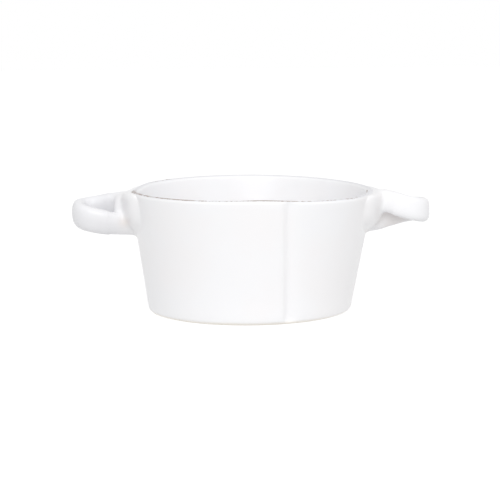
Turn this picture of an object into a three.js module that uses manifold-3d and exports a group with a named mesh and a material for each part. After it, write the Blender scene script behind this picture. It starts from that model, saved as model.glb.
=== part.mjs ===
import * as THREE from 'three';
import { mergeVertices } from 'three/addons/utils/BufferGeometryUtils.js';
import Module from 'manifold-3d';

const wasm = await Module();
wasm.setup();

// A slab-built stoneware bowl with two strap handles, in millimetres, +Z up. It stands on z = 0,
// the handles lie along X and the lap seam of its wall faces -Y. Each piece is the clay piece
// that the potter joins with slip: floor, wall, floor coil, two root pads and two handle straps.

// Bowl
const rimDiameter = 150;        // across the outside of the rim
const footDiameter = 123.2;     // across the outside of the wall's slope where it meets the table
const rimHeight = 75.3;         // at the back of the rim
const rimDip = 1.2;             // how far the rim sinks at the two handles
const rimTilt = 0.8;            // how far the rim stands above level at the left and below at the right
const rimLean = 2.1;            // how far the rim's middle stands to the right of the foot's middle
const rimPress = 1.8;           // how far the rim is pressed down where the left handle was joined on
const pressTurn = 5;            // degrees from that handle's middle to the deepest place, towards the back
const pressSpread = 15;         // degrees to each side over which the press fades
const frontSag = 1.05;          // how far the front of the rim sinks on both sides of the lap
const sagLean = 0.35;           // how much more it sinks at the right, and less at the left
const sagSpread = 37;           // degrees from a handle towards the front over which the sag comes in
const lapRise = 0.95;           // how far the double clay of the lap stands above the sunken front
const lapRiseTurn = 5;          // degrees that its highest place stands right of the front
const lapRiseSpread = 14;       // degrees to each side over which it fades
const wallThickness = 4.8;
const rimRounding = 2.1;        // radius on both edges of the rim
const floorThickness = 6.5;
const footRounding = 2.8;       // radius of the floor slab's lower edge
const coilSize = 9;             // leg of the coil smoothed into the corner inside the bowl
const slipGap = 0.3;            // joint left between two pieces of clay
const filletShare = 0.9;        // most of a slab's thickness that a rounding may take

// Lap seam of the wall
const seamTurn = 15;            // degrees that the seam stands right of the front at the rim
const seamSlant = 5;            // degrees further right at the foot
const lapWidth = 13;            // length over which the skived ends lie on each other
const featherEdge = 0.9;        // thickness left at the tip of a skived end
const seamGap = 0.7;            // open joint at the tip of a skived end
const seamDepth = 0.6;          // how far the pressed seam lies below the wall's face
const seamWidth = 4;            // how far to each side of the seam the wall is pressed in

// Root pads under the handles
const padThickness = 5.2;
const padEdge = 1.1;            // thickness at the pad's border
const padWidth = 60;            // along the wall
const padTopDrop = 0.8;         // from the rim to the upper edge
const padTopThickness = 3.2;    // at the upper edge, under the rim
const bossReach = 5.5;          // how much further the pad's middle stands out, where the strap joins
const bossWidth = 26;           // across that middle
const padDrop = 26;             // from the rim's height to the lowest edge
const padEndDrop = 14;          // from the rim's height to the lower edge at the pad's two ends

// Handle straps, each bent by hand
const handleReach = 34;         // from the rim's circle to the tip of the loop
const strapThickness = 9;
const rootHeight = 12.6;        // of the strap's section at the wall
const loopWidth = 28;           // across the outside of the loop
const rootSpread = 5;           // between the middles of the two arms, pressed together at the wall
const leftHeight = 16.7;        // of the left strap's section at its tip
const leftDrop = 16.2;          // from the rim down to the left strap's middle
const leftTipLift = 1.2;        // how far the tip of the loop stands above that middle
const leftRise = 8;             // how far the high end stands above the middle at the wall
const leftRiseBend = 2.4;       // 1 climbs evenly from the tip on, more climbs later
const leftFall = 6.7;           // how far the low end stands below the middle
const leftFallBend = 1;
const leftRoll = 34;            // degrees that the arms lie over at the wall, the low one outwards
const leftRoundness = 2.3;      // exponent of the strap's section: 2 is oval, more is squarer
const rightHeight = 14.8;
const rightDrop = 14;
const rightTipLift = -0.8;
const rightRise = 8;
const rightRiseBend = 1.8;
const rightFall = 7.5;
const rightFallBend = 2.5;
const rightRoll = 8;
const rightRoundness = 3;

// Facets
const wallColumns = 72;
const wallLevels = 5;
const roundSteps = 4;
const seamColumns = 5;
const padColumns = 28;
const padLevels = 10;
const strapSides = 20;
const strapSteps = 36;

const rimRadius = rimDiameter / 2;
const frontAngle = -Math.PI / 2;

// The wall is a cone whose middle drifts sideways by the lean, with a rim of uneven height.
const middleX = (z) => rimLean * (z / rimHeight - 0.5);
const outerRadius = (z) => THREE.MathUtils.lerp(footDiameter / 2, rimRadius, z / rimHeight);
const sunk = (angle) => rimDip * (1 + Math.cos(2 * angle)) / 2 + rimTilt * Math.cos(angle);
const press = (angle) => rimPress * hump(angle, 180 - pressTurn, pressSpread);
const rimTop = (angle) => rimHeight - sunk(angle) - press(angle) - sag(angle);

// 1 at a place on the rim, given in degrees, and fading to both sides.
function hump(angle, place, spread) {
  const turn = THREE.MathUtils.euclideanModulo(THREE.MathUtils.radToDeg(angle) - place + 180, 360) - 180;
  return Math.exp(-((turn / spread) ** 2));
}

function sag(angle) {
  const full = Math.sin(THREE.MathUtils.degToRad(sagSpread));
  const depth = frontSag + sagLean * Math.cos(angle) - lapRise * hump(angle, lapRiseTurn - 90, lapRiseSpread);
  return depth * THREE.MathUtils.smoothstep(-Math.sin(angle), 0, full);
}

// A point of the bowl: an inset of 0 is the wall's outer face, and a larger one lies further inside.
function bowlPoint(angle, inset, z) {
  const radius = outerRadius(z) - inset;
  return new THREE.Vector3(middleX(z) + radius * Math.cos(angle), radius * Math.sin(angle), z);
}

// Skins rings of points that correspond one to one, and closes the two ends with fans unless the
// last ring joins the first. Each ring runs clockwise as seen from the ring after it.
function skin(rings, closed = false) {
  const size = rings[0].length;
  const points = rings.flat();
  const faces = [];
  const last = closed ? rings.length : rings.length - 1;
  for (let i = 0; i < last; i++) {
    const here = i * size;
    const next = ((i + 1) % rings.length) * size;
    for (let j = 0; j < size; j++) {
      const k = (j + 1) % size;
      faces.push(here + j, next + k, here + k, here + j, next + j, next + k);
    }
  }
  if (!closed) {
    const end = last * size;
    const startMiddle = points.push(middleOf(rings[0])) - 1;
    const endMiddle = points.push(middleOf(rings[last])) - 1;
    for (let j = 0; j < size; j++) {
      const k = (j + 1) % size;
      faces.push(startMiddle, j, k);
      faces.push(endMiddle, end + k, end + j);
    }
  }
  const geometry = new THREE.BufferGeometry().setFromPoints(points);
  geometry.setIndex(faces);
  return geometry;
}

function middleOf(ring) {
  const middle = new THREE.Vector3();
  ring.forEach((point) => middle.addScaledVector(point, 1 / ring.length));
  return middle;
}

function toSolid(geometry) {
  const bare = geometry.clone();
  bare.deleteAttribute('normal');
  bare.deleteAttribute('uv');
  const merged = mergeVertices(bare, 1e-4);
  const vertProperties = new Float32Array(merged.attributes.position.array);
  const triVerts = new Uint32Array(merged.index.array);
  return new wasm.Manifold(new wasm.Mesh({ numProp: 3, vertProperties, triVerts }));
}

function toGeometry(solid) {
  const mesh = solid.getMesh();
  const geometry = new THREE.BufferGeometry();
  geometry.setAttribute('position', new THREE.BufferAttribute(mesh.vertProperties, 3));
  geometry.setIndex(new THREE.BufferAttribute(mesh.triVerts, 1));
  return geometry;
}

// Floor slab: a disc with a rounded lower edge, its side in line with the wall above it.
function floorSlab() {
  const rounding = Math.min(footRounding, filletShare * floorThickness);
  const arcMiddle = outerRadius(rounding) - rounding;
  const profile = [new THREE.Vector2(0, 0)];
  for (let i = 0; i <= roundSteps; i++) {
    const turn = (i / roundSteps) * Math.PI / 2;
    const radius = arcMiddle + rounding * Math.sin(turn);
    profile.push(new THREE.Vector2(radius, rounding * (1 - Math.cos(turn))));
  }
  profile.push(new THREE.Vector2(outerRadius(floorThickness), floorThickness));
  profile.push(new THREE.Vector2(0, floorThickness));
  const geometry = new THREE.LatheGeometry(profile, wallColumns);
  return geometry.rotateX(Math.PI / 2).translate(middleX(floorThickness / 2), 0, 0);
}

// One upright section through the wall strip, between two insets, with its rim edges rounded.
function wallSection(angle, outside, inside) {
  const top = rimTop(angle);
  const bottom = floorThickness + slipGap;
  const rounding = Math.min(rimRounding, filletShare * (inside - outside) / 2);
  const section = [];
  for (let i = 0; i < wallLevels; i++) {
    section.push([outside, THREE.MathUtils.lerp(bottom, top - rounding, i / wallLevels)]);
  }
  for (let i = 0; i <= roundSteps; i++) {
    const turn = (i / roundSteps) * Math.PI / 2;
    section.push([outside + rounding * (1 - Math.cos(turn)), top - rounding * (1 - Math.sin(turn))]);
  }
  const outerSide = section.length;
  for (let i = outerSide - 1; i >= 0; i--) {
    section.push([inside + outside - section[i][0], section[i][1]]);
  }
  const slant = THREE.MathUtils.degToRad(seamSlant);
  return section.map(([inset, z]) => bowlPoint(angle + slant * (1 - z / rimHeight), inset, z));
}

// Wall slab: one strip rolled into a cone. Its first end is skived on the outside, its last end on
// the inside and laid over the first, and the seam is pressed in.
function wallSlab() {
  const seamAngle = frontAngle + THREE.MathUtils.degToRad(seamTurn);
  const lap = lapWidth / rimRadius;
  const gap = seamGap / rimRadius;
  const groove = (turn) => seamDepth * Math.exp(-((turn * rimRadius / seamWidth) ** 2));
  const tipInset = wallThickness - featherEdge;
  const seamInset = seamDepth + featherEdge;
  const rings = [];
  const column = (turn, outside, inside) => rings.push(wallSection(seamAngle + turn, outside, inside));

  for (let i = 0; i <= seamColumns; i++) {
    const share = i / seamColumns;
    column(lap * (share - 1), THREE.MathUtils.lerp(tipInset, seamInset + slipGap, share), wallThickness);
  }
  const spread = 2 * seamWidth / rimRadius;
  for (let i = 0; i <= seamColumns; i++) {
    const turn = gap + spread * i / seamColumns;
    column(turn, groove(turn), wallThickness);
  }
  const first = gap + spread;
  const last = 2 * Math.PI - lap - gap;
  for (let i = 1; i <= wallColumns; i++) {
    const turn = THREE.MathUtils.lerp(first, last, i / wallColumns);
    column(turn, groove(2 * Math.PI - turn), wallThickness);
  }
  for (let i = 0; i <= seamColumns; i++) {
    const share = i / seamColumns;
    const turn = lap * (share - 1);
    const inside = THREE.MathUtils.lerp(tipInset - slipGap, seamInset, share);
    column(2 * Math.PI + turn, groove(turn), inside);
  }
  return skin(rings);
}

// Floor coil: the roll of clay smoothed into a hollow round where the wall stands on the floor.
function floorCoil() {
  const corner = wallThickness + slipGap;
  const bottom = floorThickness + slipGap;
  const section = [[corner, bottom], [corner, bottom + coilSize]];
  for (let i = 0; i <= roundSteps; i++) {
    const turn = (i / roundSteps) * Math.PI / 2;
    const radius = coilSize - featherEdge;
    section.push([corner + coilSize - radius * Math.cos(turn), bottom + coilSize - radius * Math.sin(turn)]);
  }
  section.push([corner + coilSize, bottom]);
  const rings = [];
  for (let i = 0; i < wallColumns; i++) {
    const angle = 2 * Math.PI * i / wallColumns;
    rings.push(section.map(([inset, z]) => bowlPoint(angle, inset, z)));
  }
  return skin(rings, true);
}

// The pad's outline is half an oval under the rim. Its face swells from thin borders to a boss in the
// middle and keeps more of its thickness at the top.
const padFall = (across) => THREE.MathUtils.lerp(padEndDrop, padDrop, Math.sqrt(1 - across ** 2));

function padSwell(across, up) {
  const level = 2 * up - 1;
  const edge = level > 0 ? padTopThickness : padEdge;
  const upright = Math.sqrt(1 - level ** 4);
  const crown = THREE.MathUtils.lerp(edge, padThickness, upright);
  const reach = Math.min(1, Math.abs(across) * padWidth / bossWidth);
  const boss = bossReach * Math.cos(reach * Math.PI / 2) ** 2 * upright;
  return THREE.MathUtils.lerp(padEdge, crown, 1 - across ** 2) + boss;
}

// Root pad: a patch of clay on the wall under one handle, from the rim down. A cover carried past
// the pad's borders, with its face raised by the slip joint, gives the shape to cut a strap's end to.
function rootPad(axis, cover = false) {
  const halfTurn = padWidth / 2 / rimRadius;
  const flare = rimRadius - outerRadius(rimHeight - padDrop);
  const rings = [];
  for (let i = 0; i <= padColumns; i++) {
    const across = 2 * i / padColumns - 1;
    const angle = axis + across * halfTurn;
    const top = rimTop(angle) - padTopDrop;
    const bottom = rimHeight - padFall(across);
    const section = [];
    for (let j = 0; j <= padLevels; j++) {
      const up = j / padLevels;
      const lift = slipGap + padSwell(across, up) + (cover ? slipGap : 0);
      section.push([-lift, THREE.MathUtils.lerp(bottom, top, up)]);
    }
    const back = cover ? flare + 2 * wallThickness : -slipGap;
    if (cover) {
      section.push([section[padLevels][0], top + padDrop]);
      section.unshift([section[0][0], bottom - padDrop]);
    }
    const low = section[0][1];
    const high = section[section.length - 1][1];
    for (let j = padLevels; j >= 0; j--) {
      section.push([back, THREE.MathUtils.lerp(low, high, j / padLevels)]);
    }
    rings.push(section.map(([inset, z]) => bowlPoint(angle, inset, z)));
  }
  return skin(rings);
}

// The strap's middle line in plan: a loop that is drawn in at the wall and round at the tip.
function strapPlan(outward) {
  const bendRadius = (loopWidth - strapThickness) / 2;
  const bend = rimRadius + handleReach - strapThickness / 2 - bendRadius;
  const padFoot = rimHeight - padDrop;
  const root = outerRadius(padFoot) - wallThickness / 2 + outward * middleX(padFoot);
  const waist = (root + bend) / 2;
  const plan = new THREE.Path();
  plan.moveTo(root, -rootSpread / 2);
  plan.bezierCurveTo(waist, -rootSpread / 2, waist, -bendRadius, bend, -bendRadius);
  plan.absarc(bend, 0, bendRadius, -Math.PI / 2, Math.PI / 2, false);
  plan.bezierCurveTo(waist, bendRadius, waist, rootSpread / 2, root, rootSpread / 2);
  return plan;
}

// One arm of a strap, between two steps of the loop: a flat band of clay with round edges.
function strapArm(plan, bent, first, last) {
  const squared = (value) => Math.sign(value) * Math.abs(value) ** (2 / bent.roundness);
  const rings = [];
  for (let i = first; i <= last; i++) {
    const at = plan.getPoint(i / strapSteps);
    const along = plan.getTangent(i / strapSteps);
    const fromTip = 1 - 2 * i / strapSteps;
    const swing = Math.sin(Math.abs(fromTip) * Math.PI / 2);
    const twist = fromTip > 0 ? bent.rise * swing ** bent.riseBend : -bent.fall * swing ** bent.fallBend;
    const middle = rimHeight - bent.drop + bent.tipLift * (1 - fromTip ** 2) + twist;
    const height = THREE.MathUtils.lerp(bent.height, rootHeight, fromTip ** 2);
    const roll = THREE.MathUtils.degToRad(bent.roll) * Math.sign(fromTip) * swing;
    const ring = [];
    for (let j = 0; j < strapSides; j++) {
      const turn = 2 * Math.PI * j / strapSides;
      const thick = strapThickness / 2 * squared(Math.cos(turn));
      const tall = height / 2 * squared(Math.sin(turn));
      const side = thick * Math.cos(roll) - tall * Math.sin(roll);
      const up = tall * Math.cos(roll) + thick * Math.sin(roll);
      ring.push(new THREE.Vector3(at.x + along.y * side, at.y - along.x * side, middle + up));
    }
    rings.push(ring);
  }
  return skin(rings);
}

// Handle strap: the loop leaves the wall high and comes back low. Its arms are pressed onto each
// other at the wall and cut to the root pad.
function handleStrap(axis, bent) {
  const plan = strapPlan(Math.cos(axis));
  const highArm = toSolid(strapArm(plan, bent, 0, strapSteps / 2).rotateZ(axis));
  const lowArm = toSolid(strapArm(plan, bent, strapSteps / 2, strapSteps).rotateZ(axis));
  return toGeometry(highArm.add(lowArm).subtract(toSolid(rootPad(axis, true))));
}

const leftBent = {
  height: leftHeight,
  drop: leftDrop,
  tipLift: leftTipLift,
  rise: leftRise,
  riseBend: leftRiseBend,
  fall: leftFall,
  fallBend: leftFallBend,
  roll: leftRoll,
  roundness: leftRoundness,
};
const rightBent = {
  height: rightHeight,
  drop: rightDrop,
  tipLift: rightTipLift,
  rise: rightRise,
  riseBend: rightRiseBend,
  fall: rightFall,
  fallBend: rightFallBend,
  roll: rightRoll,
  roundness: rightRoundness,
};

const glazeWhite = new THREE.Color(0xf4f4f3);
const bareClay = new THREE.Color(0xd9c9b2);

function piece(name, geometry, color, roughness) {
  const mesh = new THREE.Mesh(geometry, new THREE.MeshStandardMaterial({ color, roughness, metalness: 0 }));
  mesh.name = name;
  return mesh;
}

const bowl = new THREE.Group();
bowl.add(piece('floor_slab', floorSlab(), bareClay, 0.7));
bowl.add(piece('wall_slab', wallSlab(), glazeWhite, 0.15));
bowl.add(piece('floor_coil', floorCoil(), glazeWhite, 0.15));
bowl.add(piece('left_root_pad', rootPad(Math.PI), glazeWhite, 0.15));
bowl.add(piece('left_handle_strap', handleStrap(Math.PI, leftBent), glazeWhite, 0.15));
bowl.add(piece('right_root_pad', rootPad(0), glazeWhite, 0.15));
bowl.add(piece('right_handle_strap', handleStrap(0, rightBent), glazeWhite, 0.15));

export default bowl;
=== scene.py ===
import bmesh
import bpy
from math import atan2, cos, exp, hypot, pi, radians, sin, sqrt
from mathutils import Matrix, Vector, noise


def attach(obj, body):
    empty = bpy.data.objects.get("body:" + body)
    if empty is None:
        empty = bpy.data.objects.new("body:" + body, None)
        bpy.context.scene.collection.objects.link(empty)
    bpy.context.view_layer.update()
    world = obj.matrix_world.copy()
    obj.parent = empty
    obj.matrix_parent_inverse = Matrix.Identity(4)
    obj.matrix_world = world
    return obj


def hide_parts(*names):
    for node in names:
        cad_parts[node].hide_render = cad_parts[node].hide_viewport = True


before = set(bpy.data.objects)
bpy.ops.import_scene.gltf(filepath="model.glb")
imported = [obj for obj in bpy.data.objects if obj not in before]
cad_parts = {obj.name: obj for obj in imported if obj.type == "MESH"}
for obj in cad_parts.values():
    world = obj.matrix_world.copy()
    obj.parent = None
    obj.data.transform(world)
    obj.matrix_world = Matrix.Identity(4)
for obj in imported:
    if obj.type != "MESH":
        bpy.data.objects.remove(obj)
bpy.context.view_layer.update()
mm = 0.001
samePlace = 0.01            # mm, points this close count as one place
weldReach = 0.001           # mm, and points this close are made one

# sizes of the slab-built shape, in mm, as the clay pieces have them
bowl = {
    "rimDiameter": 150.0,
    "footDiameter": 123.2,
    "rimHeight": 75.3,
    "rimDip": 1.2,          # rim sinks towards both handles
    "rimTilt": 0.8,         # left side of the rim stands higher
    "rimLean": 2.1,         # rim's middle stands right of the foot's
    "rimPress": 1.8,        # thumb press where the left handle was joined
    "pressTurn": 5.0,       # degrees, towards the back
    "pressSpread": 15.0,
    "frontSag": 1.05,       # the front sinks on both sides of the lap
    "sagLean": 0.35,        # more at the right
    "sagSpread": 37.0,
    "lapRise": 0.95,        # the double clay of the lap stands higher
    "lapRiseTurn": 5.0,
    "lapRiseSpread": 14.0,
    "wall": 4.8,
    "floor": 6.5,
    "rimRound": 2.1,
    "footRound": 2.8,
    "coilRound": 6.75,      # hollow round between floor and wall inside
    "rimSegments": 5,
    "footSegments": 6,
    "coilSegments": 8,
    "steps": 288,           # facets round the bowl
    "wallCuts": 22,         # loops up the wall
    "waver": 0.22,          # unevenness of the hand-made wall
    "waverSize": 42.0,
    "waverTurns": 1.7,
    "waverStart": 4.0,      # height where it sets in, and the height over which it grows
    "waverFade": 12.0,
    "sinkStart": 20.0,      # the rim's dips pull the wall down from this height up
    "settle": 0.02,         # glazed rim keeps just below the clay's height
    "lift": 0.12,           # the glazed body clears the table, which only the bare foot touches
    "underRise": 1.0,       # and rises further to the middle, inside the bare foot
}
wear = {
    "depth": 0.5,           # the worn line reaches this far down from the rim's crest, mm
    "backWear": 0.5,        # the back is worn less than the front
    "rightShare": 0.78,     # and the stretch right of the seam less than the left
    "leftTurn": -172.0,     # beside the left handle the whole crest is worn
    "leftSpread": 13.0,
    "leftDepth": 1.1,
    "rightTurn": -6.0,      # beside the right one its inner edge darkens, partly worn glaze and partly painted shade
    "rightSpread": 17.0,
    "clearTurn": -4.0,      # where that crest keeps its glaze
    "clearSpread": 20.0,
    "inset": 0.95,          # 0 is the outer face and 1 the inner one
    "below": 1.0,
    "innerReach": 0.65,
    "crestTop": 1.25,       # over 1, so that the middle of each line is worn through
    "innerTop": 1.2,
    "frontShift": 0.5,      # how the wear grows from the back to the front
    "frontSlope": 2.0,
    "seamFade": 0.3,        # radians right of the seam until it is weaker
    "coatTop": 1.25,        # the glaze is thin all along the crest
    "coatDepth": 0.6,
}
seam = {
    "turn": 15.8,           # degrees right of the front at the rim
    "slant": 5.0,           # degrees further right at the foot
    "depth": 1.75,          # groove pressed in along the lap
    "leftReach": 1.8,       # steep flank on the side of the upper layer
    "rightReach": 5.0,
    "lapStep": 0.3,         # the upper layer stands this far out
    "lapFade": 16.0,
    "footGap": 0.4,         # the groove runs out above the foot
    "footFade": 2.6,
    "rimStart": 0.4,        # and over the rim's round edge
    "rimFade": 2.2,
}


def clamp(value):
    return max(0.0, min(1.0, value))


def smoothStep(value):
    value = clamp(value)
    return value * value * (3 - 2 * value)


def mix(a, b, share):
    return a + (b - a) * share


def wallRadius(z):
    return mix(bowl["footDiameter"], bowl["rimDiameter"], z / bowl["rimHeight"]) / 2


def middleX(z):
    return bowl["rimLean"] * (z / bowl["rimHeight"] - 0.5)


def wrapTurn(turn):
    return (turn + pi) % (2 * pi) - pi


# 1 at a place on the rim, given in degrees, and fading to both sides
def hump(angle, place, spread):
    return exp(-(wrapTurn(angle - radians(place)) / radians(spread)) ** 2)


def rimTop(angle):
    sunk = bowl["rimDip"] * (1 + cos(2 * angle)) / 2 + bowl["rimTilt"] * cos(angle)
    press = bowl["rimPress"] * hump(angle, 180 - bowl["pressTurn"], bowl["pressSpread"])
    lap = bowl["lapRise"] * hump(angle, bowl["lapRiseTurn"] - 90, bowl["lapRiseSpread"])
    sag = bowl["frontSag"] + bowl["sagLean"] * cos(angle) - lap
    return bowl["rimHeight"] - sunk - press - sag * smoothStep(-sin(angle) / sin(radians(bowl["sagSpread"])))


def seamAngle(z):
    return radians(-90 + seam["turn"] + seam["slant"] * (1 - z / bowl["rimHeight"]))


# slow unevenness of the wall, left by rolling and paddling
def wallWaver(angle, z):
    place = Vector((cos(angle), sin(angle), z / bowl["waverSize"])) * bowl["waverTurns"]
    grown = smoothStep((z - bowl["waverStart"]) / bowl["waverFade"])
    return bowl["waver"] * (noise.noise(place) - 1) / 2 * grown


def outerPoint(angle, lift, z):
    radius = wallRadius(z) + lift + wallWaver(angle, z)
    return Vector((middleX(z) + radius * cos(angle), radius * sin(angle), z))


def newPiece(name, bm, material, smooth=True):
    mesh = bpy.data.meshes.new(name)
    bm.to_mesh(mesh)
    bm.free()
    mesh.materials.append(material)
    for face in mesh.polygons:
        face.use_smooth = smooth
    piece = bpy.data.objects.new(name, mesh)
    bpy.context.collection.objects.link(piece)
    return piece


# camera of the photograph: its place, tilt and focal length come from outline points
cameraSet = {
    "place": (-0.00061, -1.21336, 0.20561),
    "tiltDown": 0.1386,
    "roll": -0.0083,
    "focalPixels": 2003.6,
    "framePixels": 500,
    "sensor": 36.0,
}


def addCamera(s):
    data = bpy.data.cameras.new("photoCamera")
    data.sensor_width = s["sensor"]
    data.lens = s["focalPixels"] / s["framePixels"] * s["sensor"]
    camera = bpy.data.objects.new("photoCamera", data)
    tilt = Matrix.Rotation(pi / 2 - s["tiltDown"], 4, "X")
    camera.matrix_world = Matrix.Translation(s["place"]) @ tilt @ Matrix.Rotation(s["roll"], 4, "Z")
    bpy.context.collection.objects.link(camera)
    bpy.context.scene.camera = camera


addCamera(cameraSet)
print("camera set")


# shader helpers
def addNode(tree, kind, **values):
    node = tree.nodes.new(kind)
    for key, value in values.items():
        setattr(node, key, value)
    return node


def link(tree, source, target):
    tree.links.new(source, target)


def startGroup(name, inputs, outputs):
    group = bpy.data.node_groups.new(name, "ShaderNodeTree")
    for label, kind, value in inputs:
        socket = group.interface.new_socket(name=label, in_out="INPUT", socket_type=kind)
        if value is not None:
            socket.default_value = value
    for label, kind in outputs:
        group.interface.new_socket(name=label, in_out="OUTPUT", socket_type=kind)
    return group, group.nodes.new("NodeGroupInput"), group.nodes.new("NodeGroupOutput")


def mathNode(tree, operation, a, b):
    node = addNode(tree, "ShaderNodeMath", operation=operation)
    for socket, value in zip(node.inputs, (a, b)):
        if isinstance(value, (int, float)):
            socket.default_value = value
        else:
            link(tree, value, socket)
    return node.outputs[0]


def noiseNode(tree, vector, scale, detail=3.0, roughness=0.5):
    node = addNode(tree, "ShaderNodeTexNoise")
    node.inputs["Detail"].default_value = detail
    node.inputs["Roughness"].default_value = roughness
    link(tree, vector, node.inputs["Vector"])
    if isinstance(scale, (int, float)):
        node.inputs["Scale"].default_value = scale
    else:
        link(tree, scale, node.inputs["Scale"])
    return node.outputs["Fac"]


def rampNode(tree, value, low, high):
    node = addNode(tree, "ShaderNodeMapRange", interpolation_type="SMOOTHSTEP")
    link(tree, value, node.inputs["Value"])
    for key, setting in (("From Min", low), ("From Max", high)):
        if isinstance(setting, (int, float)):
            node.inputs[key].default_value = setting
        else:
            link(tree, setting, node.inputs[key])
    return node.outputs["Result"]


def mixColor(tree, share, a, b):
    node = addNode(tree, "ShaderNodeMix", data_type="RGBA")
    link(tree, share, node.inputs["Factor"])
    for socket, value in ((node.inputs[6], a), (node.inputs[7], b)):
        if isinstance(value, tuple):
            socket.default_value = value
        else:
            link(tree, value, socket)
    return node.outputs[2]


# glaze that thins over an edge: the clay shows through in spots and as a broken line
thinSet = {
    "longScale": 38.0,      # long breaks in the line, the fine ones have the group's Spot Scale
    "longRange": (0.3, 0.7),
    "longShare": 0.55,
    "fineRange": (0.35, 0.65),
    "fineShare": 0.45,
    "everywhere": 0.45,     # wear that no break takes away
    "fade": 0.35,
    "spotRange": (0.6, 0.7),
}


def makeThinGlaze(s):
    group, given, out = startGroup(
        "thinGlaze",
        [("Edge", "NodeSocketFloat", 0.0), ("Place", "NodeSocketVector", None),
         ("Amount", "NodeSocketFloat", 0.5), ("Spot Scale", "NodeSocketFloat", 300.0)],
        [("Worn", "NodeSocketFloat"), ("Spots", "NodeSocketFloat")],
    )
    place = given.outputs["Place"]
    long = noiseNode(group, place, s["longScale"], detail=2.0)
    fine = noiseNode(group, place, given.outputs["Spot Scale"], detail=3.0, roughness=0.6)
    longShare = mathNode(group, "MULTIPLY", rampNode(group, long, *s["longRange"]), s["longShare"])
    fineShare = mathNode(group, "MULTIPLY", rampNode(group, fine, *s["fineRange"]), s["fineShare"])
    breakUp = mathNode(group, "ADD", mathNode(group, "ADD", longShare, fineShare), s["everywhere"])
    reach = mathNode(group, "MULTIPLY", given.outputs["Edge"], breakUp)
    level = mathNode(group, "SUBTRACT", 1.0, given.outputs["Amount"])
    worn = rampNode(group, reach, level, mathNode(group, "ADD", level, s["fade"]))
    link(group, worn, out.inputs["Worn"])
    spot = rampNode(group, fine, *s["spotRange"])
    link(group, mathNode(group, "MULTIPLY", spot, worn), out.inputs["Spots"])
    return group


# fired surface: slow tone drift, pinholes and a faint ripple for the bump
firedSet = {
    "pinholeScale": 130.0,
    "pinholeRange": (0.075, 0.03),
    "pinholeChance": (0.82, 0.86),
    "rippleScale": 95.0,
}


def makeFiredSurface(s):
    group, given, out = startGroup(
        "firedSurface",
        [("Place", "NodeSocketVector", None), ("Drift Scale", "NodeSocketFloat", 20.0),
         ("Grain Scale", "NodeSocketFloat", 500.0)],
        [("Drift", "NodeSocketFloat"), ("Grain", "NodeSocketFloat"), ("Pinholes", "NodeSocketFloat"),
         ("Ripple", "NodeSocketFloat")],
    )
    place = given.outputs["Place"]
    drift = noiseNode(group, place, given.outputs["Drift Scale"], detail=2.0)
    link(group, drift, out.inputs["Drift"])
    grain = noiseNode(group, place, given.outputs["Grain Scale"], detail=4.0, roughness=0.65)
    link(group, grain, out.inputs["Grain"])
    cells = addNode(group, "ShaderNodeTexVoronoi", feature="F1")
    cells.inputs["Scale"].default_value = s["pinholeScale"]
    link(group, place, cells.inputs["Vector"])
    hole = rampNode(group, cells.outputs["Distance"], *s["pinholeRange"])
    chance = rampNode(group, cells.outputs["Color"], *s["pinholeChance"])
    link(group, mathNode(group, "MULTIPLY", hole, chance), out.inputs["Pinholes"])
    ripple = noiseNode(group, place, s["rippleScale"], detail=2.0, roughness=0.4)
    link(group, ripple, out.inputs["Ripple"])
    return group


thinGlaze = makeThinGlaze(thinSet)
firedSurface = makeFiredSurface(firedSet)

glazeLook = {
    "white": (0.9, 0.9, 0.914, 1),
    "warmWhite": (0.9, 0.89, 0.898, 1),
    # grey of thin glaze on the bowl's crest, and painted shade that greys the handle straps
    "thinCoatAndShade": (0.76, 0.76, 0.785, 1),
    # warm painted shade inside the handle loops and in the crease at the left low arm's root
    "hollow": (0.72, 0.6, 0.52, 1),
    "thin": (0.42, 0.36, 0.33, 1),
    "spots": (0.22, 0.12, 0.09, 1),
    "driftScale": 26.0,
    "driftRange": (0.35, 0.7),
    "grainScale": 700.0,
    "pinholeTone": 0.35,
    "wornAmount": 0.5,
    "spotScale": 420.0,
    "footTan": (0.9, 0.86, 0.79, 1),
    "roughness": 0.32,
    "wornRoughness": 0.6,
    "shine": 0.38,
    "rippleHeight": 0.00006,
    "pinholeDepth": 0.0001,
    "footLine": (0.0006, 0.0024),   # height above the table where the glaze thins out
    "footWaver": 0.0016,
}


def useGroup(tree, group, **values):
    node = addNode(tree, "ShaderNodeGroup", node_tree=group)
    for key, value in values.items():
        node.inputs[key].default_value = value
    return node


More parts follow.
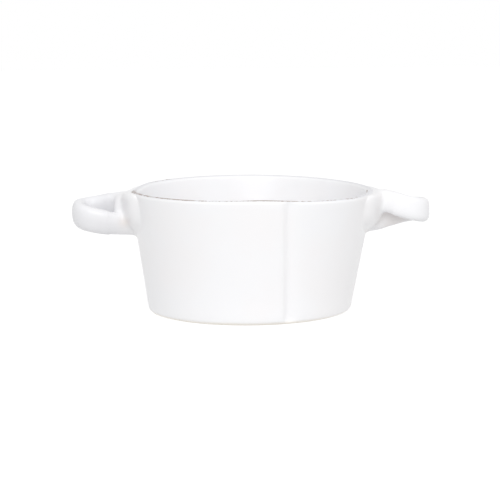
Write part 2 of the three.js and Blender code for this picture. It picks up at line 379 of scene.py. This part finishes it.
def makeGlaze(name, s):
    material = bpy.data.materials.new(name)
    material.use_nodes = True
    tree = material.node_tree
    surface = tree.nodes["Principled BSDF"]
    place = addNode(tree, "ShaderNodeTexCoord").outputs["Object"]
    fired = useGroup(tree, firedSurface, **{"Drift Scale": s["driftScale"], "Grain Scale": s["grainScale"]})
    link(tree, place, fired.inputs["Place"])
    drift = rampNode(tree, fired.outputs["Drift"], *s["driftRange"])
    base = mixColor(tree, drift, s["white"], s["warmWhite"])
    # thin glaze on the bowl's crest, and painted shade greying the handle straps
    coatAndShade = addNode(tree, "ShaderNodeAttribute", attribute_name="thinCoatAndShade").outputs["Fac"]
    base = mixColor(tree, coatAndShade, base, s["thinCoatAndShade"])
    # painted shade in the hollows of the handles
    hollow = addNode(tree, "ShaderNodeAttribute", attribute_name="hollow").outputs["Fac"]
    base = mixColor(tree, hollow, base, s["hollow"])

    edge = addNode(tree, "ShaderNodeAttribute", attribute_name="rimEdge").outputs["Fac"]
    thin = useGroup(tree, thinGlaze, **{"Amount": s["wornAmount"], "Spot Scale": s["spotScale"]})
    link(tree, edge, thin.inputs["Edge"])
    link(tree, place, thin.inputs["Place"])
    base = mixColor(tree, thin.outputs["Worn"], base, s["thin"])
    base = mixColor(tree, thin.outputs["Spots"], base, s["spots"])

    height = addNode(tree, "ShaderNodeSeparateXYZ")
    link(tree, place, height.inputs[0])
    aroundZero = mathNode(tree, "SUBTRACT", fired.outputs["Drift"], 0.5)
    uneven = mathNode(tree, "MULTIPLY", aroundZero, s["footWaver"])
    level = mathNode(tree, "ADD", height.outputs["Z"], uneven)
    base = mixColor(tree, rampNode(tree, level, s["footLine"][1], s["footLine"][0]), base, s["footTan"])
    pinholes = mathNode(tree, "MULTIPLY", fired.outputs["Pinholes"], s["pinholeTone"])
    base = mixColor(tree, pinholes, base, s["thin"])
    link(tree, base, surface.inputs["Base Color"])

    rough = addNode(tree, "ShaderNodeMapRange")
    link(tree, thin.outputs["Worn"], rough.inputs["Value"])
    rough.inputs["To Min"].default_value = s["roughness"]
    rough.inputs["To Max"].default_value = s["wornRoughness"]
    link(tree, rough.outputs["Result"], surface.inputs["Roughness"])
    surface.inputs["Specular IOR Level"].default_value = s["shine"]

    ripple = addNode(tree, "ShaderNodeBump")
    ripple.inputs["Distance"].default_value = s["rippleHeight"]
    link(tree, fired.outputs["Ripple"], ripple.inputs["Height"])
    pits = addNode(tree, "ShaderNodeBump", invert=True)
    pits.inputs["Distance"].default_value = s["pinholeDepth"]
    link(tree, fired.outputs["Pinholes"], pits.inputs["Height"])
    link(tree, ripple.outputs["Normal"], pits.inputs["Normal"])
    link(tree, pits.outputs["Normal"], surface.inputs["Normal"])
    return material


clayLook = {
    "tan": (0.62, 0.51, 0.38, 1),
    "dark": (0.47, 0.36, 0.25, 1),
    "speck": (0.25, 0.17, 0.12, 1),
    "driftScale": 30.0,
    "driftRange": (0.3, 0.75),
    "grainScale": 900.0,
    "speckRange": (0.62, 0.7),
    "speckAmount": 0.6,
    "roughness": 0.78,
    "grainHeight": 0.00012,
}


def makeBareClay(name, s):
    material = bpy.data.materials.new(name)
    material.use_nodes = True
    tree = material.node_tree
    surface = tree.nodes["Principled BSDF"]
    place = addNode(tree, "ShaderNodeTexCoord").outputs["Object"]
    fired = useGroup(tree, firedSurface, **{"Drift Scale": s["driftScale"], "Grain Scale": s["grainScale"]})
    link(tree, place, fired.inputs["Place"])
    drift = rampNode(tree, fired.outputs["Drift"], *s["driftRange"])
    base = mixColor(tree, drift, s["tan"], s["dark"])
    speck = rampNode(tree, fired.outputs["Grain"], *s["speckRange"])
    base = mixColor(tree, mathNode(tree, "MULTIPLY", speck, s["speckAmount"]), base, s["speck"])
    link(tree, base, surface.inputs["Base Color"])
    surface.inputs["Roughness"].default_value = s["roughness"]
    grain = addNode(tree, "ShaderNodeBump")
    grain.inputs["Distance"].default_value = s["grainHeight"]
    link(tree, fired.outputs["Grain"], grain.inputs["Height"])
    link(tree, grain.outputs["Normal"], surface.inputs["Normal"])
    return material


whiteGlaze = makeGlaze("whiteGlaze", glazeLook)
bareClay = makeBareClay("bareClay", clayLook)
print("glaze and clay mixed")


# glazed bowl: one wall strip and its floor, spun as a sharp section and then rounded
def ringEdges(bm, radius, z):
    def onRing(vert):
        return abs(hypot(vert.co.x, vert.co.y) - radius) < samePlace and abs(vert.co.z - z) < samePlace

    return [edge for edge in bm.edges if all(onRing(vert) for vert in edge.verts)]


def roundRing(bm, radius, z, size, segments):
    bmesh.ops.bevel(bm, geom=ringEdges(bm, radius, z), affect="EDGES", offset=size, offset_type="OFFSET",
                    segments=segments, profile=0.5, material=-1)


def bowlOutline(s):
    top = s["rimHeight"]
    return [
        (0, s["lift"] + s["underRise"]), (wallRadius(0), s["lift"]),
        (wallRadius(top), top), (wallRadius(top) - s["wall"], top),
        (wallRadius(s["floor"]) - s["wall"], s["floor"]), (0, s["floor"]),
    ]


def spinBowl(s):
    bm = bmesh.new()
    verts = [bm.verts.new((radius, 0, z)) for radius, z in bowlOutline(s)]
    for a, b in zip(verts, verts[1:]):
        bm.edges.new((a, b))
    bmesh.ops.spin(bm, geom=list(bm.verts) + list(bm.edges), axis=(0, 0, 1), cent=(0, 0, 0), angle=2 * pi,
                   steps=s["steps"], use_merge=True)
    bmesh.ops.remove_doubles(bm, verts=bm.verts, dist=weldReach)
    bmesh.ops.recalc_face_normals(bm, faces=bm.faces)
    outline = bowlOutline(s)
    roundRing(bm, *outline[1], s["footRound"], s["footSegments"])
    roundRing(bm, *outline[2], s["rimRound"], s["rimSegments"])
    roundRing(bm, *outline[3], s["rimRound"], s["rimSegments"])
    roundRing(bm, *outline[4], s["coilRound"], s["coilSegments"])
    upright = [e for e in bm.edges if abs(e.verts[0].co.z - e.verts[1].co.z) > s["rimHeight"] / 2]
    bmesh.ops.subdivide_edges(bm, edges=upright, cuts=s["wallCuts"], use_grid_fill=True)
    return bm


def seamLift(angle, z):
    away = wrapTurn(angle - seamAngle(z)) * wallRadius(z)
    press = exp(-(away / seam["leftReach" if away < 0 else "rightReach"]) ** 2)
    layer = seam["lapStep"] * exp(-(away / seam["lapFade"]) ** 2) if away < 0 else 0
    return layer * (1 - press) - seam["depth"] * press


# wear along the crest of the rim, most beside the left handle, and by the right handle a dark inner edge
# that is partly wear and partly painted shade
def rimWearAndShade(angle, across, crest):
    depth = mix(wear["depth"], wear["leftDepth"], hump(angle, wear["leftTurn"], wear["leftSpread"]))
    crestLine = clamp(wear["crestTop"] - crest / depth)
    inner = hypot((across - wear["inset"]) * bowl["wall"], crest - wear["below"])
    # partly worn glaze and partly painted shade where the crest rounds inward by the right handle
    innerLine = clamp(wear["innerTop"] - inner / wear["innerReach"])
    innerLine *= hump(angle, wear["rightTurn"], wear["rightSpread"])
    crestLine *= 1 - hump(angle, wear["clearTurn"], wear["clearSpread"])
    front = mix(wear["backWear"], 1, smoothStep(wear["frontShift"] - wear["frontSlope"] * sin(angle)))
    rightOfSeam = smoothStep(wrapTurn(angle - seamAngle(bowl["rimHeight"])) / wear["seamFade"])
    return max(crestLine * front * mix(1, wear["rightShare"], rightOfSeam), innerLine)


def makeBowl(s):
    bm = spinBowl(s)
    edgeLayer = bm.verts.layers.float.new("rimEdge")
    coatAndShadeLayer = bm.verts.layers.float.new("thinCoatAndShade")
    top = s["rimHeight"]
    for vert in bm.verts:
        x, y, z = vert.co
        radius = hypot(x, y)
        if radius < samePlace:
            continue
        angle = atan2(y, x)
        across = clamp((wallRadius(z) - radius) / s["wall"])   # 0 outside, 1 inside
        crest = top - z
        vert[edgeLayer] = rimWearAndShade(angle, across, crest)
        vert[coatAndShadeLayer] = clamp(wear["coatTop"] - crest / wear["coatDepth"])
        pulled = smoothStep((z - s["sinkStart"]) / (top - s["sinkStart"]))
        newZ = z - (top - rimTop(angle) + s["settle"]) * pulled
        slide = wallRadius(newZ) - wallRadius(z)
        lift = wallWaver(angle, newZ)
        if across < 0.5 and z > seam["footGap"]:
            ends = smoothStep((z - seam["footGap"]) / seam["footFade"])
            ends *= smoothStep((crest + seam["rimStart"]) / seam["rimFade"])
            lift += seamLift(angle, z) * ends
        radius += slide + lift
        vert.co = Vector((middleX(newZ) + radius * cos(angle), radius * sin(angle), newZ))
    bmesh.ops.scale(bm, vec=(mm, mm, mm), verts=bm.verts)
    return newPiece("glazed_bowl", bm, whiteGlaze)


glazedBowl = makeBowl(bowl)
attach(glazedBowl, "root")
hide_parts("wall_slab", "floor_coil")
print("bowl spun:", len(glazedBowl.data.polygons), "faces")


# bare foot: the underside of the floor slab, wiped clean of glaze
foot = {
    "gap": 2.8,             # from the wall's foot circle to the wiped edge
    "rise": 1.5,            # how far the disc reaches up into the bowl
    "edgeRound": 0.12,
    "edgeSegments": 3,
    "steps": 144,
    "rings": 9,
    "flatRings": 1.5,       # width of the flat middle, in rings
    "dish": 0.25,           # the middle stands clear of the table
}


def makeFoot(s):
    bm = bmesh.new()
    radius = bowl["footDiameter"] / 2 - s["gap"]
    bmesh.ops.create_cone(bm, cap_ends=True, segments=s["steps"], radius1=radius, radius2=radius,
                          depth=s["rise"], matrix=Matrix.Translation((0, 0, s["rise"] / 2)))
    bmesh.ops.bevel(bm, geom=ringEdges(bm, radius, 0), affect="EDGES", offset=s["edgeRound"],
                    segments=s["edgeSegments"], profile=0.5, material=-1)
    bottom = min(bm.faces, key=lambda face: face.calc_center_median().z)
    ringWidth = radius / (s["rings"] + s["flatRings"])
    for ring in range(s["rings"]):
        bmesh.ops.inset_individual(bm, faces=[bottom], thickness=ringWidth)
        share = (ring + 1) / s["rings"]
        step = s["dish"] * (smoothStep(share) - smoothStep(share - 1 / s["rings"]))
        bmesh.ops.translate(bm, vec=(0, 0, step), verts=bottom.verts)
    bmesh.ops.translate(bm, vec=(middleX(0), 0, 0), verts=bm.verts)
    bmesh.ops.scale(bm, vec=(mm, mm, mm), verts=bm.verts)
    return newPiece("bare_foot", bm, bareClay)


bareFoot = makeFoot(foot)
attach(bareFoot, "root")
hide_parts("floor_slab")
print("foot wiped bare")


# handles: a strap looped out of a pad of clay and smoothed onto the wall
handle = {
    "reach": 34.0,
    "strapThickness": 9.0,
    "rootHeight": 14.0,
    "loopWidth": 28.0,
    "rootSpread": 5.0,
    "rootReach": 87.0,      # from the bowl's middle, clay inside this was smoothed with a thumb
    "rootSmoothing": 80,
    "sides": 28,
    "planSteps": 60,        # points along an arm and round half the tip, before they are evened out
    "loopSteps": 72,
    "padWidth": 62.0,
    "padSides": 4.5,        # more makes the pad's front and back steeper
    "padThickness": 5.2,
    "padTopThickness": 3.2,
    "padTopDrop": 0.2,
    "padTopPower": 4,       # more keeps the upper half fuller
    "padEndClear": 0.4,     # the pad's ends keep below the rim's rounding by this
    "padEndSlope": 2.0,
    "padDrop": 26.0,
    "padEndDrop": 14.0,
    "padTaper": 0.5,        # lower border, 0.5 is a half round and 1 runs out softly
    "bossWidth": 34.0,      # middle of the pad, which stands out further
    "hem": 9.0,             # clay smeared out round the pad, just under the wall's face
    "hemSink": 0.14,
    "padDepth": 2.4,
    "rimClear": 0.1,        # the strap's top keeps this far below the rim at the wall
    "clearReach": 9.0,      # and may rise freely this far out
    "padCells": (72, 44),
    "voxel": 0.5,
    "smoothing": 7,
    "smoothFactor": 0.5,
    "webDetail": 4,
    "strapShadeReach": 14.0,      # painted shade greys the strap over this length from the wall
    "hollowReach": (16.0, 26.0),    # warm painted shade inside the loop, fading out from the rim
    "hollowFacing": (0.2, 0.8),
    "creaseOut": 1.2,       # middle and size of the painted shade in the crease at the low arm's root
    "creaseDrop": 20.0,
    "creaseReach": 3.4,
}
leftBend = {
    "height": 16.7,
    "drop": 16.2,
    "tipLift": 1.2,
    "rise": 8.0,
    "riseBend": 2.4,
    "fall": 6.7,
    "fallBend": 1.0,
    "roundness": 2.3,
    "roll": 34.0,           # degrees that the arms lie over at the wall
    "bossReach": 1.0,       # how far the pad's middle stands out further
    "webSize": (6.0, 5.0, 10.0),    # clay pressed between the two arms at the wall
    "webOut": 2.8,
    "webSide": -2.0,
    "webDrop": 12.5,
    "coatAndShade": 0.6,            # painted shade that greys the strap, where less light falls on it
    "hollow": 0.0,          # painted shade in the hollow of the loop
    "creaseShade": 0.3,          # painted shade in the crease between the low arm and the pad
}
rightBend = {
    "height": 14.8,
    "drop": 14.0,
    "tipLift": -0.8,
    "rise": 8.0,
    "riseBend": 1.8,
    "fall": 7.5,
    "fallBend": 2.5,
    "roundness": 3.0,
    "roll": 8.0,
    "bossReach": 3.4,
    "coatAndShade": 0.15,
    "hollow": 0.2,
    "creaseShade": 0.0,
}


def easedCurve(points, share):
    a, b, c, d = (Vector(p) for p in points)
    rest = 1 - share
    return a * rest ** 3 + b * 3 * rest ** 2 * share + c * 3 * rest * share ** 2 + d * share ** 3


# the loop in plan, from the wall round the tip and back, as evenly spaced points
def loopPlan(s, outward):
    bendRadius = (s["loopWidth"] - s["strapThickness"]) / 2
    bend = bowl["rimDiameter"] / 2 + s["reach"] - s["strapThickness"] / 2 - bendRadius
    padFoot = bowl["rimHeight"] - s["padDrop"]
    root = wallRadius(padFoot) - bowl["wall"] / 2 + outward * middleX(padFoot)
    waist = (root + bend) / 2
    half = s["rootSpread"] / 2
    arm = [(root, -half), (waist, -half), (waist, -bendRadius), (bend, -bendRadius)]
    steps = s["planSteps"]
    fine = [easedCurve(arm, i / steps) for i in range(steps)]
    for i in range(steps + 1):
        turn = i / steps * pi / 2
        fine.append(Vector((bend + bendRadius * sin(turn), -bendRadius * cos(turn))))
    fine += [Vector((p.x, -p.y)) for p in reversed(fine[:-1])]
    lengths = [0.0]
    for a, b in zip(fine, fine[1:]):
        lengths.append(lengths[-1] + (b - a).length)
    points = []
    at = 0
    for i in range(s["loopSteps"] + 1):
        want = lengths[-1] * i / s["loopSteps"]
        while at < len(fine) - 2 and lengths[at + 1] < want:
            at += 1
        points.append(fine[at].lerp(fine[at + 1], (want - lengths[at]) / (lengths[at + 1] - lengths[at])))
    return points


def squared(value, roundness):
    return (1 if value > 0 else -1) * abs(value) ** (2 / roundness)


def strapSection(s, bent, plan, i):
    last = len(plan) - 1
    along = (plan[min(i + 1, last)] - plan[max(i - 1, 0)]).normalized()
    fromTip = 1 - 2 * i / last
    swing = sin(abs(fromTip) * pi / 2)
    if fromTip > 0:
        twist = bent["rise"] * swing ** bent["riseBend"]
    else:
        twist = -bent["fall"] * swing ** bent["fallBend"]
    middle = bowl["rimHeight"] - bent["drop"] + bent["tipLift"] * (1 - fromTip ** 2) + twist
    height = mix(bent["height"], s["rootHeight"], fromTip ** 2)
    roll = radians(bent["roll"]) * swing * (1 if fromTip > 0 else -1)
    points = []
    for j in range(s["sides"]):
        turn = 2 * pi * j / s["sides"]
        thick = s["strapThickness"] / 2 * squared(cos(turn), bent["roundness"])
        tall = height / 2 * squared(sin(turn), bent["roundness"])
        side = thick * cos(roll) - tall * sin(roll)
        up = tall * cos(roll) + thick * sin(roll)
        points.append(Vector((plan[i].x + along.y * side, plan[i].y - along.x * side, middle + up)))
    return points


# one arm at a time, so that the two may press into each other at the wall
def addArm(bm, s, bent, plan, first, last):
    ring = bmesh.ops.create_circle(bm, cap_ends=True, segments=s["sides"], radius=1)["verts"]
    for vert, place in zip(ring, strapSection(s, bent, plan, first)):
        vert.co = place
    edges = [e for e in bm.edges if e.verts[0] in ring and e.verts[1] in ring]
    for i in range(first + 1, last + 1):
        grown = bmesh.ops.extrude_edge_only(bm, edges=edges)["geom"]
        newVerts = [g for g in grown if isinstance(g, bmesh.types.BMVert)]
        edges = [g for g in grown if isinstance(g, bmesh.types.BMEdge)
                 and g.verts[0] in newVerts and g.verts[1] in newVerts]
        before = {}
        for vert in newVerts:
            for edge in vert.link_edges:
                other = edge.other_vert(vert)
                if other in ring:
                    before[ring.index(other)] = vert
        ring = [before[j] for j in range(s["sides"])]
        for vert, place in zip(ring, strapSection(s, bent, plan, i)):
            vert.co = place
    bmesh.ops.contextual_create(bm, geom=ring)


# how far the pad stands out of the wall, across from -1 to 1 and up from 0 to 1 inside its outline
def padLift(s, bent, across, up):
    if abs(across) >= 1 or up <= 0:
        return -s["hemSink"]
    level = min(1, 2 * up - 1)
    edge = s["padTopThickness"] if level > 0 else -s["hemSink"]
    upright = sqrt(1 - level ** s["padTopPower"]) if level > 0 else (1 - level ** 2) ** s["padTaper"]
    crown = mix(edge, s["padThickness"], upright)
    boss = bent["bossReach"] * cos(min(1, abs(across) * s["padWidth"] / s["bossWidth"]) * pi / 2) ** 2
    return mix(-s["hemSink"], crown, 1 - abs(across) ** s["padSides"]) + boss * upright


def addPad(bm, s, bent, axis):
    columns, rows = s["padCells"]
    back = bmesh.ops.create_grid(bm, x_segments=columns, y_segments=rows, size=1)["verts"]
    grown = bmesh.ops.extrude_face_region(bm, geom=list({f for v in back for f in v.link_faces}))["geom"]
    front = {g for g in grown if isinstance(g, bmesh.types.BMVert)}
    halfWidth = s["padWidth"] / 2 + s["hem"]
    lowest = bowl["rimHeight"] - s["padDrop"] - s["hem"]
    for vert in list(back) + list(front):
        reach = vert.co.x * halfWidth
        angle = axis + reach / (bowl["rimDiameter"] / 2)
        across = reach / (s["padWidth"] / 2)
        outline = sqrt(max(0, 1 - across ** 2))
        endDrop = bowl["rimRound"] + s["padEndClear"]
        top = rimTop(angle) - mix(endDrop, s["padTopDrop"], smoothStep(outline * s["padEndSlope"]))
        z = mix(lowest, top, (vert.co.y + 1) / 2)
        bottom = bowl["rimHeight"] - mix(s["padEndDrop"], s["padDrop"], outline)
        lift = padLift(s, bent, across, (z - bottom) / (top - bottom))
        vert.co = outerPoint(angle, lift if vert in front else -s["padDepth"], z)


# clay pressed into the corner between the two arms
def addWeb(bm, s, bent, axis):
    place = (cos(axis) * (bowl["rimDiameter"] / 2 + bent["webOut"]), bent["webSide"],
             bowl["rimHeight"] - bent["webDrop"])
    shape = Matrix.Translation(place) @ Matrix.Diagonal((*bent["webSize"], 1))
    bmesh.ops.create_icosphere(bm, subdivisions=s["webDetail"], radius=1, matrix=shape)


def turnAbout(bm, verts, axis):
    bmesh.ops.rotate(bm, verts=verts, cent=(0, 0, 0), matrix=Matrix.Rotation(axis, 3, "Z"))


# the strap's end stays inside the wall's thickness and below the rim
def trimRoot(s, verts):
    for vert in verts:
        x, y, z = vert.co
        angle = atan2(y, x - middleX(z))
        outside = hypot(x - middleX(z), y) - wallRadius(z)
        over = z - (rimTop(angle) - s["rimClear"])
        if over > 0:
            z -= over * smoothStep(1 - outside / s["clearReach"])
        radius = wallRadius(z) + max(outside, -s["padDepth"])
        vert.co = Vector((middleX(z) + radius * cos(angle), radius * sin(angle), z))


# painted shade: 1 where the surface looks into the middle of the loop
def hollowShare(s, vert):
    x, y = (vert.co / mm).xy
    rim = bowl["rimDiameter"] / 2
    middle = rim + s["reach"] / 2
    inward = Vector(((middle if x > 0 else -middle) - x, -y)).normalized()
    low, high = s["hollowFacing"]
    faces = smoothStep((vert.normal.x * inward.x + vert.normal.y * inward.y - low) / (high - low))
    near, far = s["hollowReach"]
    return faces * (1 - smoothStep((abs(x) - rim - near) / (far - near)))


# painted shade: 1 in the front crease between the left low arm and its pad
def creaseShadeShare(s, vert):
    x, y, z = vert.co / mm
    out = abs(x) - bowl["rimDiameter"] / 2 - s["creaseOut"]
    up = z - bowl["rimHeight"] + s["creaseDrop"]
    return exp(-(out ** 2 + up ** 2) / s["creaseReach"] ** 2) if y < 0 else 0


# strap, pad and web become one skin, smoothed at the wall and marked with painted shade on the strap, inside
# the loop and in the crease
def meltTogether(name, bm, s, bent, material):
    rough = newPiece(name, bm, material)
    remesh = rough.modifiers.new("melt", "REMESH")
    remesh.mode = "VOXEL"
    remesh.voxel_size = s["voxel"] * mm
    remesh.use_smooth_shade = True
    soften = rough.modifiers.new("soften", "SMOOTH")
    soften.factor = s["smoothFactor"]
    soften.iterations = s["smoothing"]
    bpy.context.view_layer.update()
    melted = rough.evaluated_get(bpy.context.evaluated_depsgraph_get())
    finished = bpy.data.meshes.new_from_object(melted)
    rough.modifiers.clear()
    rough.data = finished
    finished.name = name
    thumbed = bmesh.new()
    thumbed.from_mesh(finished)
    roots = [v for v in thumbed.verts if hypot(v.co.x, v.co.y) < s["rootReach"] * mm]
    for i in range(s["rootSmoothing"]):
        bmesh.ops.smooth_vert(thumbed, verts=roots, factor=s["smoothFactor"],
                              use_axis_x=True, use_axis_y=True, use_axis_z=True)
    coatAndShadeLayer = thumbed.verts.layers.float.new("thinCoatAndShade")
    hollowLayer = thumbed.verts.layers.float.new("hollow")
    thumbed.normal_update()
    for vert in thumbed.verts:
        # painted shade that greys the strap, growing from the wall outward
        out = (hypot(vert.co.x, vert.co.y) / mm - bowl["rimDiameter"] / 2) / s["strapShadeReach"]
        vert[coatAndShadeLayer] = bent["coatAndShade"] * smoothStep(out)
        # painted shade inside the loop and in the crease at the low arm's root
        loopShading = bent["hollow"] * hollowShare(s, vert)
        creaseShading = bent["creaseShade"] * creaseShadeShare(s, vert)
        vert[hollowLayer] = max(loopShading, creaseShading)
    thumbed.to_mesh(finished)
    thumbed.free()
    for face in finished.polygons:
        face.use_smooth = True
    return rough


def makeHandle(name, s, bent, axis):
    bm = bmesh.new()
    plan = loopPlan(s, cos(axis))
    half = s["loopSteps"] // 2
    addArm(bm, s, bent, plan, 0, half + 1)
    addArm(bm, s, bent, plan, half - 1, s["loopSteps"])
    turnAbout(bm, list(bm.verts), axis)
    trimRoot(s, list(bm.verts))
    addPad(bm, s, bent, axis)
    if "webSize" in bent:
        addWeb(bm, s, bent, axis)
    bmesh.ops.recalc_face_normals(bm, faces=bm.faces)
    bmesh.ops.scale(bm, vec=(mm, mm, mm), verts=bm.verts)
    return meltTogether(name, bm, s, bent, whiteGlaze)


for side, bent, axis in (("left", leftBend, pi), ("right", rightBend, 0.0)):
    piece = makeHandle(f"{side}_handle", handle, bent, axis)
    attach(piece, "root")
    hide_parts(f"{side}_root_pad", f"{side}_handle_strap")
    print(side, "handle joined on:", len(piece.data.polygons), "faces")


# studio: white surroundings, pale floor, soft light from the front and above
studio = {
    "floorSize": 6.0,
    "floorColor": (0.14, 0.14, 0.14, 1),
    "floorRoughness": 0.9,
    "floorGlow": 0.6,
    "nearGlow": 0.66,       # painted light: the floor glows brighter round the foot to light it, fading out between these two radii
    "nearReach": (0.07, 0.14),
    "seenColor": (0.3, 0.3, 0.3, 1),    # share of the floor's white that a shadow can take away
    "seenGlow": 0.82,
    "leftLevel": 0.6,       # pale walls all round, brighter towards the right
    "rightLevel": 0.93,
    "ceilingLift": 0.29,
    "backShare": 0.4,       # and darker behind the bowl
    "backRange": (-0.1, 0.6),
    "keyPlace": (-0.12, -1.55, 0.9),
    "keyAim": (0, 0, 0.04),
    "keySize": 0.9,
    "keyPower": 10.6,
}


def whiteToCamera(tree):
    path = addNode(tree, "ShaderNodeLightPath")
    seen = mathNode(tree, "MAXIMUM", path.outputs["Is Camera Ray"], path.outputs["Is Glossy Ray"])
    return mathNode(tree, "MAXIMUM", seen, path.outputs["Is Transmission Ray"])


def addWorld(s):
    world = bpy.data.worlds.new("studio")
    world.use_nodes = True
    tree = world.node_tree
    direction = addNode(tree, "ShaderNodeSeparateXYZ")
    link(tree, addNode(tree, "ShaderNodeTexCoord").outputs["Generated"], direction.inputs[0])
    sky = addNode(tree, "ShaderNodeMapRange")
    link(tree, direction.outputs["X"], sky.inputs["Value"])
    sky.inputs["From Min"].default_value = -1.0
    sky.inputs["To Min"].default_value = s["leftLevel"]
    sky.inputs["To Max"].default_value = s["rightLevel"]
    level = addNode(tree, "ShaderNodeMapRange")
    link(tree, whiteToCamera(tree), level.inputs["Value"])
    upward = mathNode(tree, "MAXIMUM", direction.outputs["Z"], 0.0)
    ceiling = mathNode(tree, "MULTIPLY", upward, s["ceilingLift"])
    behind = addNode(tree, "ShaderNodeMapRange")
    link(tree, direction.outputs["Y"], behind.inputs["Value"])
    for key, value in zip(("From Min", "From Max"), s["backRange"]):
        behind.inputs[key].default_value = value
    behind.inputs["To Min"].default_value = 1.0
    behind.inputs["To Max"].default_value = s["backShare"]
    allRound = mathNode(tree, "ADD", sky.outputs["Result"], ceiling)
    room = mathNode(tree, "MULTIPLY", allRound, behind.outputs["Result"])
    link(tree, room, level.inputs["To Min"])
    level.inputs["To Max"].default_value = 1.0
    link(tree, level.outputs["Result"], tree.nodes["Background"].inputs["Strength"])
    tree.nodes["Background"].inputs["Color"].default_value = (1, 1, 1, 1)
    bpy.context.scene.world = world


def addLamp(s):
    data = bpy.data.lights.new("key", "AREA")
    data.size = s["keySize"]
    data.energy = s["keyPower"]
    lamp = bpy.data.objects.new("key", data)
    place = Vector(s["keyPlace"])
    aim = Vector(s["keyAim"]) - place
    lamp.matrix_world = Matrix.Translation(place) @ aim.to_track_quat("-Z", "Y").to_matrix().to_4x4()
    bpy.context.collection.objects.link(lamp)


def addFloor(s):
    bm = bmesh.new()
    bmesh.ops.create_grid(bm, x_segments=1, y_segments=1, size=s["floorSize"] / 2)
    material = bpy.data.materials.new("paleFloor")
    material.use_nodes = True
    tree = material.node_tree
    lit = tree.nodes["Principled BSDF"]
    lit.inputs["Base Color"].default_value = s["floorColor"]
    lit.inputs["Roughness"].default_value = s["floorRoughness"]
    lit.inputs["Specular IOR Level"].default_value = 0.0
    lit.inputs["Emission Color"].default_value = (1, 1, 1, 1)
    away = addNode(tree, "ShaderNodeVectorMath", operation="LENGTH")
    link(tree, addNode(tree, "ShaderNodeTexCoord").outputs["Object"], away.inputs[0])
    fade = addNode(tree, "ShaderNodeMapRange")
    link(tree, away.outputs["Value"], fade.inputs["Value"])
    for key, value in zip(("From Min", "From Max"), s["nearReach"]):
        fade.inputs[key].default_value = value
    fade.inputs["To Min"].default_value = s["nearGlow"]
    fade.inputs["To Max"].default_value = s["floorGlow"]
    link(tree, fade.outputs["Result"], lit.inputs["Emission Strength"])
    shaded = addNode(tree, "ShaderNodeBsdfDiffuse")
    shaded.inputs["Color"].default_value = s["seenColor"]
    glow = addNode(tree, "ShaderNodeEmission")
    glow.inputs["Strength"].default_value = s["seenGlow"]
    white = addNode(tree, "ShaderNodeAddShader")
    link(tree, shaded.outputs[0], white.inputs[0])
    link(tree, glow.outputs[0], white.inputs[1])
    choice = addNode(tree, "ShaderNodeMixShader")
    link(tree, whiteToCamera(tree), choice.inputs[0])
    link(tree, lit.outputs[0], choice.inputs[1])
    link(tree, white.outputs[0], choice.inputs[2])
    link(tree, choice.outputs[0], tree.nodes["Material Output"].inputs["Surface"])
    floor = newPiece("floor", bm, material, False)


addWorld(studio)
addLamp(studio)
addFloor(studio)
bpy.context.scene.view_settings.view_transform = "Standard"
print("studio lit")
